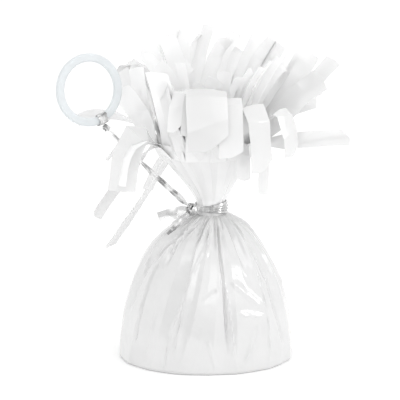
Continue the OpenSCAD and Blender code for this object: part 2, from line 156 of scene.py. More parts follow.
# Smaller folds that the photograph shows on the front of the wrap: direction from +X and share of
# the way up, at the top and at the foot, then height in mm (a valley is below 0), width to the
# left and width to the right in mm
FRONT_FOLDS = [
    (276, 1.00, 247, 0.02, 0.8, 0.5, 2.6),
    (271, 0.72, 241, 0.05, 0.35, 0.6, 0.7),
    (287, 0.98, 284, 0.08, -0.9, 0.9, 0.6),
    (284, 0.54, 290, 0.02, 0.6, 1.6, 0.6),
    (222, 0.60, 214, 0.08, -1.0, 1.2, 0.7),
    (214, 0.68, 198, 0.23, -0.6, 2.4, 0.9),
    (253, 0.95, 227, 0.50, -0.6, 0.8, 1.6),
    (248, 0.88, 211, 0.53, -0.6, 0.7, 1.5),
    (251, 0.92, 219, 0.48, 0.4, 1.1, 0.9),
    (192, 0.90, 204, 0.35, 0.4, 1.4, 0.8),
    (272, 1.00, 271, 0.60, 0.5, 0.8, 0.9),
    (279, 1.00, 280, 0.62, -0.5, 0.8, 0.8),
    (265, 1.00, 259, 0.66, -0.6, 0.9, 1.2),
    (301, 1.00, 307, 0.46, -0.5, 0.8, 1.6),
    (310, 1.00, 316, 0.42, 0.5, 1.8, 0.7),
    (322, 1.00, 331, 0.18, -0.5, 2.0, 0.8),
    (334, 1.00, 344, 0.20, 0.4, 0.9, 2.2),
    (350, 1.00, 354, 0.34, -0.5, 1.1, 0.9),
    (319, 0.53, 316, 0.03, 0.5, 0.5, 0.9),
    (311, 0.25, 293, 0.02, 0.4, 0.7, 1.4),
    (292, 0.29, 317, 0.26, 0.4, 0.7, 1.8),
    (289, 0.47, 317, 0.28, 0.4, 1.0, 2.4),
    (327, 0.34, 335, 0.08, -0.4, 0.9, 1.4),
    (271, 0.17, 277, 0.01, 0.3, 0.8, 0.9),
    (243, 0.14, 241, 0.01, -0.4, 0.8, 0.8),
    (231, 0.30, 226, 0.03, 0.3, 1.0, 1.6),
]


def linear(value):
    """Turns an sRGB hex colour into the linear colour that Blender's sockets take."""
    parts = [int(value[i:i + 2], 16) / 255 for i in (1, 3, 5)]
    return tuple(c / 12.92 if c <= 0.04045 else ((c + 0.055) / 1.055) ** 2.4 for c in parts)


# Settings that a user would change

def length(name, description, default, least, most):
    """A size, given in mm."""
    return bpy.props.FloatProperty(
        name=name, description=description, default=default * MM, min=least * MM,
        max=most * MM, unit="LENGTH")


def tint(name, description, value):
    return bpy.props.FloatVectorProperty(
        name=name, description=description, subtype="COLOR", default=linear(value), min=0, max=1)


class FilmSettings(bpy.types.PropertyGroup):
    base_diameter: length("Base diameter", "Width of the wrapped base", 70.4, 40, 120)
    outline_height: length(
        "Outline height", "Height at which the wrap's oval outline would close", 60, 30, 100)
    neck_radius: length(
        "Neck radius", "Radius of the film drawn in under the ribbon", 5.8, 3, 10)
    neck_lean: length("Neck lean", "How far the neck leans to the right", 2, 0, 5)
    wall: length(
        "Film wall", "Drawn thickness of the film, which is 0.03 mm in truth", 0.12, 0.05, 0.4)
    crease_depth: length("Crease depth", "Height of the wrap's main creases", 0.8, 0, 1.2)
    fold_scale: bpy.props.FloatProperty(
        name="Fold depth", description="Scales the smaller folds of the wrap", default=1.5,
        min=0, max=2, subtype="FACTOR")
    crinkle_depth: length(
        "Crinkle depth", "Depth of the loose crinkles in the wrap", 0.44, 0, 2)
    crinkle_size: length("Crinkle size", "Width of one crinkle in the wrap", 7, 1, 30)
    strip_crinkle_depth: length(
        "Strip crinkle depth", "Depth of the crinkles in the cut sheets", 0.9, 0, 2)
    strip_crinkle_size: length(
        "Strip crinkle size", "Width of one crinkle in the cut sheets", 8, 1, 30)
    fringe_reach: length(
        "Fringe reach", "Length that the strips' shapes are measured by", 40, 20, 60)
    outer_rim_radius: length(
        "Outer rim radius", "Radius of the outer funnel where its strips begin", 21.5, 10, 40)
    inner_rim_radius: length(
        "Inner rim radius", "Radius of the inner funnel where its strips begin", 15, 8, 30)
    outer_strip_width: length(
        "Outer strip width", "Width of a strip cut in the outer sheet", 6.8, 3, 10)
    inner_strip_width: length(
        "Inner strip width", "Width of a strip cut in the inner sheet", 5.6, 3, 10)
    # Painted shade: the wrap takes a darker grey than the same film above the neck
    wrap_colour: tint(
        "Wrap colour", "Colour of the film where it lies over the dome", "#DDDDDD")
    sheet_colour: tint("Sheet colour", "Colour of the film above the neck", "#FDFDFD")
    # Painted shade: the outer sheet's free strips take this greyer colour than the rest of the same
    # film, for the lamps' open light
    strip_colour: tint("Strip colour", "Colour of the outer sheet's free strips", "#EDEDED")
    seed: bpy.props.IntProperty(
        name="Seed", description="Number that fixes the random folds", default=7, min=0)


class RibbonSettings(bpy.types.PropertyGroup):
    band_width: length("Ribbon width", "Width of the ribbon laid flat", 5.2, 2, 10)
    lead_width: length("Lead width", "Width of the ribbon bunched in the lead", 2.3, 1, 5)
    wide_tail_width: length("Wide tail width", "Width of the knot's wide tail", 4.6, 2, 8)
    narrow_tail_width: length("Narrow tail width", "Width of the knot's narrow tail", 1.9, 1, 4)
    tail_reach: length("Tail reach", "Length of both tails from the knot", 14, 5, 30)
    half_turns: bpy.props.IntProperty(
        name="Half turns", description="Half turns of twist behind the strips", default=1, min=0)
    foil: length("Foil wall", "Drawn thickness of the ribbon", 0.14, 0.05, 0.5)
    # Painted reflection: random patches between these two colours stand for dark surroundings that the
    # foil would mirror; the darker ones do not follow the creases
    colour: tint("Foil colour", "Colour of the bright faces of the foil", "#F2F2F2")
    shade: tint("Foil shade", "Colour of the foil in its creases", "#C8C8C8")


class MouldedSettings(bpy.types.PropertyGroup):
    ring_colour: tint("Ring colour", "Colour of the translucent ring", "#EFF3F5")
    dome_colour: tint("Dome colour", "Colour of the moulded dome inside", "#F1F1EF")
    fill_colour: tint("Fill colour", "Colour of the cast fill", "#A39D93")
    card_colour: tint("Card colour", "Colour of the card disc", "#BFA67F")


class StudioSettings(bpy.types.PropertyGroup):
    focal_length: bpy.props.FloatProperty(
        name="Focal length", description="Focal length of the camera in mm", default=300,
        min=20, max=600)
    frame_width: length("Frame width", "Width of the picture at the object", 162, 50, 500)
    elevation: bpy.props.FloatProperty(
        name="Elevation", description="Angle that the camera looks down by",
        default=math.radians(11), subtype="ANGLE")
    sky: bpy.props.FloatProperty(
        name="Sky", description="Strength of the even studio light", default=1.02, min=0, max=2)
    room: bpy.props.FloatProperty(
        name="Room", description="Share of the light that the room in front gives a mirror",
        default=0.42, min=0, max=1, subtype="FACTOR")
    key_power: bpy.props.FloatProperty(
        name="Key power", description="Power of the soft lamp at the front right in watts",
        default=0.88, min=0, max=50)
    fill_power: bpy.props.FloatProperty(
        name="Fill power", description="Power of the soft lamp above the front in watts",
        default=1.9, min=0, max=50)
    floor_colour: tint("Floor colour", "Colour of the pale floor", "#FAFAFA")


# Shaping helpers

def unit(v):
    return v / np.linalg.norm(v)


def eased(s):
    s = np.clip(s, 0, 1)
    return s * s * (3 - 2 * s)


def turned(v, axis, angle):
    return v * math.cos(angle) + np.cross(axis, v) * math.sin(angle)


def outward(azimuth):
    return np.array([math.cos(azimuth), math.sin(azimuth), 0])


def ring_points(turn, reach, height, centre_x=0):
    """Points at these turns and reaches round an upright axis."""
    return np.stack([
        centre_x + reach * np.cos(turn), reach * np.sin(turn),
        np.broadcast_to(height, turn.shape)], axis=-1)


def bow(root, middle, tip, s):
    """A curve through a root, a middle and a tip, and its direction."""
    pull = 2 * middle - (root + tip) / 2
    at = (1 - s) ** 2 * root + 2 * s * (1 - s) * pull + s * s * tip
    return at, unit((1 - s) * (pull - root) + s * (tip - pull))


def add_node(tree, kind, inputs=None, **settings):
    """Adds a node, sets its properties, and puts a value on or links a socket to its inputs."""
    made = tree.nodes.new(kind)
    for key, value in settings.items():
        setattr(made, key, value)
    for key, value in (inputs or {}).items():
        if isinstance(value, bpy.types.NodeSocket):
            tree.links.new(value, made.inputs[key])
        else:
            made.inputs[key].default_value = value
    return made


def mesh_object(name, points, faces, edges=()):
    mesh = bpy.data.meshes.new(name)
    mesh.from_pydata([tuple(p) for p in points], list(edges), list(faces))
    mesh.update()
    made = bpy.data.objects.new(name, mesh)
    bpy.context.scene.collection.objects.link(made)
    return made


def point_attribute(piece, name, kind, values):
    field = "vector" if kind == "FLOAT_VECTOR" else "value"
    made = piece.data.attributes.new(name, kind, "POINT")
    made.data.foreach_set(field, np.asarray(values, np.float32).ravel())


def bake(piece, sharp_degrees):
    """Turns a piece with its modifiers into a plain mesh with crisp creases."""
    bpy.context.view_layer.update()
    graph = bpy.context.evaluated_depsgraph_get()
    mesh = bpy.data.meshes.new_from_object(piece.evaluated_get(graph), depsgraph=graph)
    piece.modifiers.clear()
    piece.data = mesh
    mesh.name = piece.name
    mesh.polygons.foreach_set("use_smooth", [True] * len(mesh.polygons))
    mesh.set_sharp_from_angle(angle=math.radians(sharp_degrees))
    mesh.update()
    return piece


def settle(piece, body, slot, *nodes):
    """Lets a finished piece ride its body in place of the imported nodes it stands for."""
    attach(piece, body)
    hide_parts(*nodes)


# Geometry node trees

def new_tree(name, sockets):
    tree = bpy.data.node_groups.new(name, "GeometryNodeTree")
    tree.interface.new_socket("Geometry", in_out="OUTPUT", socket_type="NodeSocketGeometry")
    tree.interface.new_socket("Geometry", in_out="INPUT", socket_type="NodeSocketGeometry")
    for label, kind in sockets:
        tree.interface.new_socket(label, in_out="INPUT", socket_type="NodeSocket" + kind)
    return tree, add_node(tree, "NodeGroupInput").outputs


def crinkle_offset(tree, depth, size, seed):
    """A drift of each point by smooth noise, so both faces of a thin wall move together."""
    scale = add_node(tree, "ShaderNodeMath", {0: 1.0, 1: size}, operation="DIVIDE")
    noise = add_node(
        tree, "ShaderNodeTexNoise", {"W": seed, "Scale": scale.outputs[0], "Detail": 1.0},
        noise_dimensions="4D")
    centred = add_node(
        tree, "ShaderNodeVectorMath", {0: noise.outputs["Color"], 1: (0.5, 0.5, 0.5)},
        operation="SUBTRACT")
    return add_node(
        tree, "ShaderNodeVectorMath", {0: centred.outputs[0], "Scale": depth}, operation="SCALE")


def finish_tree(tree, geometry, material):
    solid = add_node(tree, "GeometryNodeRealizeInstances", {"Geometry": geometry})
    painted = add_node(
        tree, "GeometryNodeSetMaterial", {"Geometry": solid.outputs[0], "Material": material})
    add_node(tree, "NodeGroupOutput", {"Geometry": painted.outputs[0]})
    return tree


def film_tree():
    """Crinkles a film sheet where its attribute loose says that nothing holds it."""
    tree, given = new_tree("Crinkled film", [
        ("Depth", "Float"), ("Size", "Float"), ("Seed", "Float"), ("Material", "Material")])
    loose = add_node(
        tree, "GeometryNodeInputNamedAttribute", {"Name": "loose"}, data_type="FLOAT")
    depth = add_node(
        tree, "ShaderNodeMath", {0: given["Depth"], 1: loose.outputs[0]}, operation="MULTIPLY")
    drift = crinkle_offset(tree, depth.outputs[0], given["Size"], given["Seed"])
    moved = add_node(
        tree, "GeometryNodeSetPosition",
        {"Geometry": given["Geometry"], "Offset": drift.outputs[0]})
    return finish_tree(tree, moved.outputs[0], given["Material"])


def ribbon_tree():
    """Lays a pleated, crinkled ribbon along each path. A path's attribute facing is the way that
    the ribbon's face looks, and broad scales its width."""
    tree, given = new_tree("Pleated ribbon", [
        ("Width", "Float"), ("Pleats", "Int"), ("Pleat depth", "Float"),
        ("Crinkle depth", "Float"), ("Crinkle size", "Float"), ("Seed", "Float"),
        ("Material", "Material")])
    path = add_node(tree, "GeometryNodeMeshToCurve", {"Mesh": given["Geometry"]})
    facing = add_node(
        tree, "GeometryNodeInputNamedAttribute", {"Name": "facing"}, data_type="FLOAT_VECTOR")
    broad = add_node(
        tree, "GeometryNodeInputNamedAttribute", {"Name": "broad"}, data_type="FLOAT")
    faced = add_node(
        tree, "GeometryNodeSetCurveNormal",
        {"Curve": path.outputs[0], "Normal": facing.outputs[0]}, mode="FREE")
    half = add_node(
        tree, "ShaderNodeMath", {0: given["Width"], 1: 0.5}, operation="MULTIPLY")
    left = add_node(tree, "ShaderNodeMath", {0: half.outputs[0], 1: -1.0}, operation="MULTIPLY")
    start = add_node(tree, "ShaderNodeCombineXYZ", {"Y": left.outputs[0]})
    end = add_node(tree, "ShaderNodeCombineXYZ", {"Y": half.outputs[0]})
    line = add_node(
        tree, "GeometryNodeCurvePrimitiveLine",
        {"Start": start.outputs[0], "End": end.outputs[0]})
    twice = add_node(
        tree, "ShaderNodeMath", {0: given["Pleats"], 1: 2.0, 2: 1.0}, operation="MULTIPLY_ADD")
    across = add_node(
        tree, "GeometryNodeResampleCurve", {"Curve": line.outputs[0], "Count": twice.outputs[0]})
    index = add_node(tree, "GeometryNodeInputIndex")
    odd = add_node(
        tree, "ShaderNodeMath", {0: index.outputs[0], 1: 2.0}, operation="MODULO")
    middle = add_node(tree, "ShaderNodeMath", {0: odd.outputs[0], 1: 0.5}, operation="SUBTRACT")
    rise = add_node(
        tree, "ShaderNodeMath", {0: middle.outputs[0], 1: given["Pleat depth"]},
        operation="MULTIPLY")
    shift = add_node(tree, "ShaderNodeCombineXYZ", {"X": rise.outputs[0]})
    profile = add_node(
        tree, "GeometryNodeSetPosition",
        {"Geometry": across.outputs[0], "Offset": shift.outputs[0]})
    laid = add_node(
        tree, "GeometryNodeCurveToMesh",
        {"Curve": faced.outputs[0], "Profile Curve": profile.outputs[0],
         "Scale": broad.outputs[0]})
    drift = crinkle_offset(tree, given["Crinkle depth"], given["Crinkle size"], given["Seed"])
    moved = add_node(
        tree, "GeometryNodeSetPosition",
        {"Geometry": laid.outputs[0], "Offset": drift.outputs[0]})
    return finish_tree(tree, moved.outputs[0], given["Material"])


def run_tree(piece, tree, values):
    """Adds the tree as a modifier, its inputs set by their sockets' identifiers."""
    made = piece.modifiers.new(tree.name, "NODES")
    made.node_group = tree
    for item in tree.interface.items_tree:
        if item.item_type == "SOCKET" and item.in_out == "INPUT" and item.name in values:
            made[item.identifier] = values[item.name]


# Materials

def new_material(name, values):
    """A material with these values on its shader."""
    made = bpy.data.materials.new(name)
    made.use_nodes = True
    shader = made.node_tree.nodes["Principled BSDF"]
    for key, value in values.items():
        shader.inputs[key].default_value = value
    return made, made.node_tree, shader


def mottled(tree, shader, size_mm, dark, light, low=0.35, high=0.65, detail=3.0):
    """Lays a soft pattern of two colours on a surface, in patches of a real size."""
    at = add_node(tree, "ShaderNodeTexCoord").outputs["Object"]
    noise = add_node(
        tree, "ShaderNodeTexNoise",
        {"Vector": at, "Scale": 1 / (size_mm * MM), "Detail": detail})
    ramp = add_node(tree, "ShaderNodeValToRGB", {"Fac": noise.outputs[0]})
    for stop, position, colour in zip(
            ramp.color_ramp.elements, (low, high), (dark, light)):
        stop.position = position
        stop.color = (*colour, 1)
    tree.links.new(ramp.outputs[0], shader.inputs["Base Color"])
    return at


def darker(colour, share):
    return tuple(share * c for c in colour)


def bumped(tree, shader, pattern, strength, depth_mm):
    bump = add_node(
        tree, "ShaderNodeBump",
        {"Height": pattern, "Strength": strength, "Distance": depth_mm * MM})
    tree.links.new(bump.outputs[0], shader.inputs["Normal"])


def grained(tree, shader, at, size_mm, detail, strength, depth_mm):
    """Raises a surface by a fine grain of a real size."""
    grain = add_node(
        tree, "ShaderNodeTexNoise", {"Vector": at, "Scale": 1 / (size_mm * MM), "Detail": detail})
    bumped(tree, shader, grain.outputs[0], strength, depth_mm)


def pearl_film_material(name, colour, free_colour, through_share):
    # Pearlised polypropylene film, blown and stretched: white and lustrous, with mirror-like
    # facets between hair-thin creases. Where it stands free, some light goes through it. Its free
    # strips may take a greyer colour than the rest, painted shade for the lamps' open light.
    made, tree, shader = new_material(name, {
        "Roughness": 0.2, "IOR": 1.7, "Specular IOR Level": 0.7,
        "Coat Weight": 0.5 - 0.5 * through_share, "Coat Roughness": 0.07,
        "Subsurface Radius": (1, 1, 1), "Subsurface Scale": 0.8 * MM})
    at = mottled(tree, shader, 9, darker(colour, 0.965), colour)
    if not through_share:
        creases = add_node(
            tree, "ShaderNodeTexNoise", {"Vector": at, "Scale": 1 / (7 * MM), "Detail": 1.0},
            noise_type="RIDGED_MULTIFRACTAL")
        bumped(tree, shader, creases.outputs[0], 0.3, 0.12)
        return made
    loose = add_node(tree, "ShaderNodeAttribute", attribute_name="loose")
    through = add_node(
        tree, "ShaderNodeMapRange",
        {"Value": loose.outputs["Fac"], "From Min": 0.45, "From Max": 0.95,
         "To Min": 0.2 * through_share, "To Max": through_share})
    tree.links.new(through.outputs["Result"], shader.inputs["Subsurface Weight"])
    # Painted shade: the colour runs from the funnel's to the free strips' greyer colour as the film
    # grows loose
    funnel_colour = shader.inputs["Base Color"].links[0].from_socket
    freed = add_node(
        tree, "ShaderNodeMix", {0: loose.outputs["Fac"], 6: funnel_colour, 7: (*free_colour, 1)},
        data_type="RGBA")
    # Painted light and shade: each point's share scales the colour, dimming strips in the lamps' full
    # light and lifting strips in shade
    painted_shading = add_node(tree, "ShaderNodeAttribute", attribute_name="painted_shading")
    painted_shading_colour = add_node(
        tree, "ShaderNodeVectorMath", {0: freed.outputs[2], "Scale": painted_shading.outputs["Fac"]},
        operation="SCALE")
    tree.links.new(painted_shading_colour.outputs[0], shader.inputs["Base Color"])
    return made


def foil_ribbon_material():
    # Metallised polyester ribbon: a bright vacuum-coated metal face, mottled in random patches
    # between a bright and a darker grey as a painted reflection of dark surroundings
    settings = bpy.context.scene.weight_ribbon
    made, tree, shader = new_material(
        "Metallised polyester ribbon", {"Metallic": 1.0, "Roughness": 0.26})
    # Painted reflection: the foil's colour, mottled between its shade and its bright colour
    at = mottled(tree, shader, 4, tuple(settings.shade), tuple(settings.colour), 0.42, 0.58, 1.0)
    crush = add_node(
        tree, "ShaderNodeTexVoronoi", {"Vector": at, "Scale": 1 / (3 * MM)},
        feature="F1", distance="MANHATTAN")
    bumped(tree, shader, crush.outputs["Distance"], 0.2, 0.3)
    return made


def ring_material():
    # Injection-moulded natural polypropylene: milky and see-through, with a soft moulded gloss
    colour = tuple(bpy.context.scene.weight_moulded.ring_colour)
    made, tree, shader = new_material(
        "Moulded natural polypropylene",
        {"Roughness": 0.28, "IOR": 1.49, "Transmission Weight": 0.3})
    at = mottled(tree, shader, 6, darker(colour, 0.97), colour)
    grained(tree, shader, at, 0.8, 2.0, 0.12, 0.05)
    return made


def dome_material():
    # Vacuum-formed polystyrene: white, satin, with the faint ripple of a drawn sheet
    colour = tuple(bpy.context.scene.weight_moulded.dome_colour)
    made, tree, shader = new_material(
        "Vacuum-formed polystyrene", {"Roughness": 0.45, "IOR": 1.59})
    at = mottled(tree, shader, 8, darker(colour, 0.96), colour)
    grained(tree, shader, at, 4, 1.0, 0.2, 0.1)
    return made


def fill_material():
    # Cast cement and sand: grey, dry and gritty, with grains of about 1 mm
    colour = tuple(bpy.context.scene.weight_moulded.fill_colour)
    made, tree, shader = new_material("Cast cement and sand", {"Roughness": 0.9})
    at = mottled(tree, shader, 1.0, darker(colour, 0.6), colour, 0.4, 0.6, 6.0)
    grit = add_node(tree, "ShaderNodeTexVoronoi", {"Vector": at, "Scale": 1 / (1.0 * MM)})
    bumped(tree, shader, grit.outputs["Distance"], 0.7, 0.3)
    return made


def card_material():
    # Greyboard card: pressed pulp, matt, with short fibres
    colour = tuple(bpy.context.scene.weight_moulded.card_colour)
    made, tree, shader = new_material("Pressed greyboard card", {"Roughness": 0.85})
    at = mottled(tree, shader, 0.7, darker(colour, 0.8), colour, 0.35, 0.65, 5.0)
    grained(tree, shader, at, 0.5, 4.0, 0.4, 0.1)
    return made


def paper_sweep_material(studio, lift):
    # Matt white paper sweep: even and pale, lifted to white only where the camera looks at it
    colour = tuple(studio.floor_colour)
    made, tree, shader = new_material("Matt white paper sweep", {
        "Roughness": 0.95, "Specular IOR Level": 0.0, "Emission Color": (1, 1, 1, 1)})
    mottled(tree, shader, 400, darker(colour, 0.99), colour)
    path = add_node(tree, "ShaderNodeLightPath")
    mirrored = add_node(
        tree, "ShaderNodeMath",
        {0: path.outputs["Is Camera Ray"], 1: path.outputs["Is Glossy Ray"]},
        operation="MAXIMUM")
    seen = add_node(
        tree, "ShaderNodeMath",
        {0: mirrored.outputs[0], 1: path.outputs["Is Transmission Ray"]}, operation="MAXIMUM")
    glow = add_node(tree, "ShaderNodeMath", {0: seen.outputs[0], 1: lift}, operation="MULTIPLY")
    tree.links.new(glow.outputs[0], shader.inputs["Emission Strength"])
    return made


# Forms of the wrap and the bouquet

def wrap_outline(film, rise):
    """Centre, height, radius and slope of the wrap's oval outline at shares of the way up."""
    base, lean_from = film.base_diameter / 2, 0.6
    angle = math.acos(film.neck_radius / base) * rise
    lean = film.neck_lean * eased((rise - lean_from) / (1 - lean_from))
    radius, height = base * np.cos(angle), film.outline_height * np.sin(angle)
    out = np.stack([np.cos(angle) / base, np.sin(angle) / film.outline_height])
    return lean, height, radius, out / np.linalg.norm(out, axis=0)


def crease_columns():
    """Columns of the wrap's grid: the crease before each, and its share of the way to the next."""
    least, back_per_degree, front_per_degree, front_from = 6, 0.75, 1.15, 172
    columns = []
    count = len(WRAP_CREASES)
    for k, row in enumerate(WRAP_CREASES):
        after = WRAP_CREASES[(k + 1) % count][1] + (360 if k == count - 1 else 0)
        per_degree = front_per_degree if row[1] >= front_from else back_per_degree
        pieces = max(least, round((after - row[1]) * per_degree))
        columns += [(k, j / pieces) for j in range(pieces)]
    return columns


def crease_net(columns, rise, radius, depth):
    """Directions and radii of the wrap's grid, flat from crease to crease round each row. A crease
    turns from its direction at the base to the one at the neck, sooner than evenly."""
    crease_bend = 0.6
    neck, base, share = (np.array(v, float) for v in zip(*WRAP_CREASES))
    mix = rise[:, None] ** crease_bend
    corner = base + (neck - base) * mix
    reach = radius[:, None] + depth[:, None] * share
    corner = np.hstack([corner, corner[:, :1] + 360])
    reach = np.hstack([reach, reach[:, :1]])
    k = np.array([column[0] for column in columns])
    part = np.array([column[1] for column in columns])
    low, high = corner[:, k], corner[:, k + 1]
    azimuth = low + (high - low) * part
    turn, to_low, to_high = (np.radians(v) for v in (high - low, azimuth - low, high - azimuth))
    flat = reach[:, k] * reach[:, k + 1] * np.sin(turn) / (
        reach[:, k] * np.sin(to_low) + reach[:, k + 1] * np.sin(to_high))
    return azimuth, flat


def fold_heights(folds, azimuth, rise, radius, arc):
    """Adds up the folds' heights over a grid of directions round the wrap and shares up it. Folds
    have their full width where the wrap is wide, and narrow towards the neck."""
    full_width_r, narrowest, rounding, run_in, run_out = 25 * MM, 0.25, 0.08, 0.2, 0.25
    total = np.zeros_like(azimuth)
    widen = narrowest + (1 - narrowest) * np.clip(radius / full_width_r, 0, 1)
    for top_az, top, low_az, low, height, left, right in folds:
        x = np.radians((azimuth - top_az + 180) % 360 - 180) * radius
        y = (rise - top) * arc
        foot = np.argmin(abs(rise[:, 0] - low))
        reach_x = math.radians((low_az - top_az + 180) % 360 - 180) * radius[foot, 0]
        reach_y = (low - top) * arc
        length = math.hypot(reach_x, reach_y)
        way_x, way_y = reach_x / length, reach_y / length
        along = (x * way_x + y * way_y) / length
        aside = (y * way_x - x * way_y) / MM
        width = np.where(aside < 0, left, right) * widen
        ridge = np.clip(1 + rounding - np.hypot(aside / width, rounding), 0, 1)
        start = 1 if top == 1 else eased(along / run_in)
        fade = np.where(
            (along >= 0) & (along <= 1), start * eased((1 - along) / run_out), 0)
        total += height * MM * ridge * fade
    return total


def hidden_folds(film):
    """The neck's small pleats all round, and the folds of the side that the camera can't see."""
    neck_pleats, back_folds, back_step, slight_folds = 26, 15, 12, 16
    draw = random.Random(film.seed)
    folds = []
    for i in range(neck_pleats):
        azimuth = 360 * i / neck_pleats + draw.uniform(-4, 4)
        height = draw.uniform(0.35, 0.7) * (1 if i % 2 else -1)
        folds.append((
            azimuth, 1.0, azimuth + draw.uniform(-9, 9), draw.uniform(0.5, 0.85), height,
            draw.uniform(0.7, 1.4), draw.uniform(0.7, 1.4)))
    for i in range(back_folds):
        azimuth = back_step * i + draw.uniform(-4, 4)
        height = draw.uniform(0.5, 1.1) * (1 if i % 2 else -1)
        folds.append((
            azimuth, draw.choice((1.0, 0.9, 0.6)), azimuth + draw.uniform(-16, 16),
            draw.uniform(0.02, 0.4), height, draw.uniform(0.9, 4), draw.uniform(0.9, 4)))
    for _ in range(slight_folds):
        azimuth, low = draw.uniform(0, 360), draw.uniform(0.05, 0.4)
        folds.append((
            azimuth, low + draw.uniform(0.05, 0.25), azimuth + draw.uniform(-22, 22), low,
            draw.uniform(-0.35, 0.35), draw.uniform(0.8, 2.5), draw.uniform(0.8, 2.5)))
    return folds


def closed_rings(rows, columns, pole):
    """Faces of rings joined in turn, the last of them closed to a pole."""
    faces = []
    for i in range(rows - 1):
        for j in range(columns):
            k = (j + 1) % columns
            faces.append((i * columns + j, (i + 1) * columns + j,
                          (i + 1) * columns + k, i * columns + k))
    last = (rows - 1) * columns
    return faces + [(last + j, pole, last + (j + 1) % columns) for j in range(columns)]


def funnel_pleats(azimuth, count, seed):
    """Sharp, uneven pleats round a funnel, from -1 to 1."""
    draw = random.Random(seed)
    turns = sorted(360 * i / count + draw.uniform(-5, 5) for i in range(count))
    tops = [draw.uniform(0.5, 1) for _ in turns]
    knots, heights = [], []
    for i, turn in enumerate(turns):
        after = turns[(i + 1) % count] + (360 if i == count - 1 else 0)
        knots += [turn, turn + (after - turn) * draw.uniform(0.35, 0.65)]
        heights += [tops[i], -draw.uniform(0.5, 1)]
    return np.interp(azimuth, knots, heights, period=360)


def strip_path(row, root_z, root_r, reach):
    """Root, middle and tip of a strip, its sideways direction at the root, and its turn. The root
    lies just outside the rim."""
    root_out, root_up = 0.8 * MM, 0.45 * MM
    azimuth = math.radians(row[0])
    out = outward(azimuth)
    side = np.cross(UP, out)
    root = out * (root_r + root_out) + UP * (root_z + root_up)
    middle = root + reach * (row[1][0] * out + row[1][1] * side + row[1][2] * UP)
    tip = root + reach * (row[2][0] * out + row[2][1] * side + row[2][2] * UP)
    return root, middle, tip, side, row[3]


def under_path(one, two, drop, draw, shape, reach):
    """The path of a strip of the second ply, between two strips of the first. It starts lower
    down, on the funnel's inside, and takes a shape of its own or the mean of its neighbours'."""
    shaped_in, mean_in, usual_length, most_stretch = 0.8 * MM, 0.6 * MM, 30 * MM, 1.25
    side = unit(one[3] + two[3])
    out = np.cross(side, UP)
    root = (one[0] + two[0]) / 2
    start = root - out * drop[0] - UP * drop[1]
    if shape:
        middle, tip = (root + reach * (v[0] * out + v[1] * side + v[2] * UP) for v in shape[:2])
        return start, middle - out * shaped_in, tip, side, shape[3]
    middle = root + (one[1] - one[0] + two[1] - two[0]) / 2
    tip = root + (one[2] - one[0] + two[2] - two[0]) / 2
    stretch = min(most_stretch, max(1, usual_length / np.linalg.norm(tip - root)))
    tip = root + (tip - root) * stretch * draw.uniform(0.85, 1.05)
    tip = tip + side * draw.uniform(-4.5, 4.5) * MM + UP * draw.uniform(-2, 2.5) * MM
    turn = (one[4] + two[4]) / 2 + draw.uniform(-30, 30)
    return start, middle - out * mean_in, tip, side, turn


def strip_rows(path, width, draw, across):
    """A strip's points, row by row: straight runs between slanted creases, and a slanted cut. It
    leaves the rim in line with the funnel and swerves to its own path."""
    arch_depth, settled, near_creases = 0.5 * MM, 0.45, (0, 0.07, 0.3, 0.5, 0.7, 0.93)
    root, middle, tip, side, turned_by = path
    out = np.cross(side, UP)
    start = 2 * (2 * middle - (root + tip) / 2 - root)
    in_line = unit(0.6 * out + 0.8 * UP)
    swerve = in_line * np.linalg.norm(start) - start
    bend = draw.uniform(0.22, 0.38)

    def section(s, x):
        at, way = bow(root, middle, tip, s)
        at = at + swerve * s * max(0, 1 - s / bend) ** 2
        turn = math.radians(turned_by) * eased(s / settled)
        flat = unit(side - (side @ way) * way)
        wide = turned(flat, way, turn)
        arch = arch_depth * eased(s / settled) * (1 - 4 * x * x)
        return at + wide * width * x + np.cross(way, wide) * arch

    creases = [c + draw.uniform(-0.04, 0.04) for c in (0.12, 0.30, 0.5, 0.7, 0.87)]
    slants = [0] + [draw.uniform(-0.09, 0.09) for _ in creases] + [draw.uniform(-0.2, 0.1)]
    creases = [0, *creases, 1]
    rows = []
    for i in range(len(creases) - 1):
        for share in near_creases + ((1,) if i == len(creases) - 2 else ()):
            points = []
            for x in across:
                low = section(min(1, creases[i] + slants[i] * x), x)
                high = section(min(1, creases[i + 1] + slants[i + 1] * x), x)
                points.append(low + (high - low) * share)
            rows.append((creases[i] + (creases[i + 1] - creases[i]) * share, points))
    return rows


def funnel_levels(film, foot_r, rim_r, rim_z, pleats, first):
    """Levels (lean, height, radius, pleat depth) of a funnel from the band's top to its rim.
    Pleats are their depth at the band, what they gain, and what they lose again on the way."""
    steps, flare, gain_share = 22, 1.15, 0.7
    at_band, gain, loss = pleats
    levels = []
    for i in range(first, steps + 1):
        s = i / steps
        levels.append((
            film.neck_lean * (1 - float(eased(s))), BAND_TOP + (rim_z - BAND_TOP) * s,
            foot_r + (rim_r - foot_r) * s ** flare,
            at_band + gain * float(eased(s / gain_share)) - loss * s))
    return levels


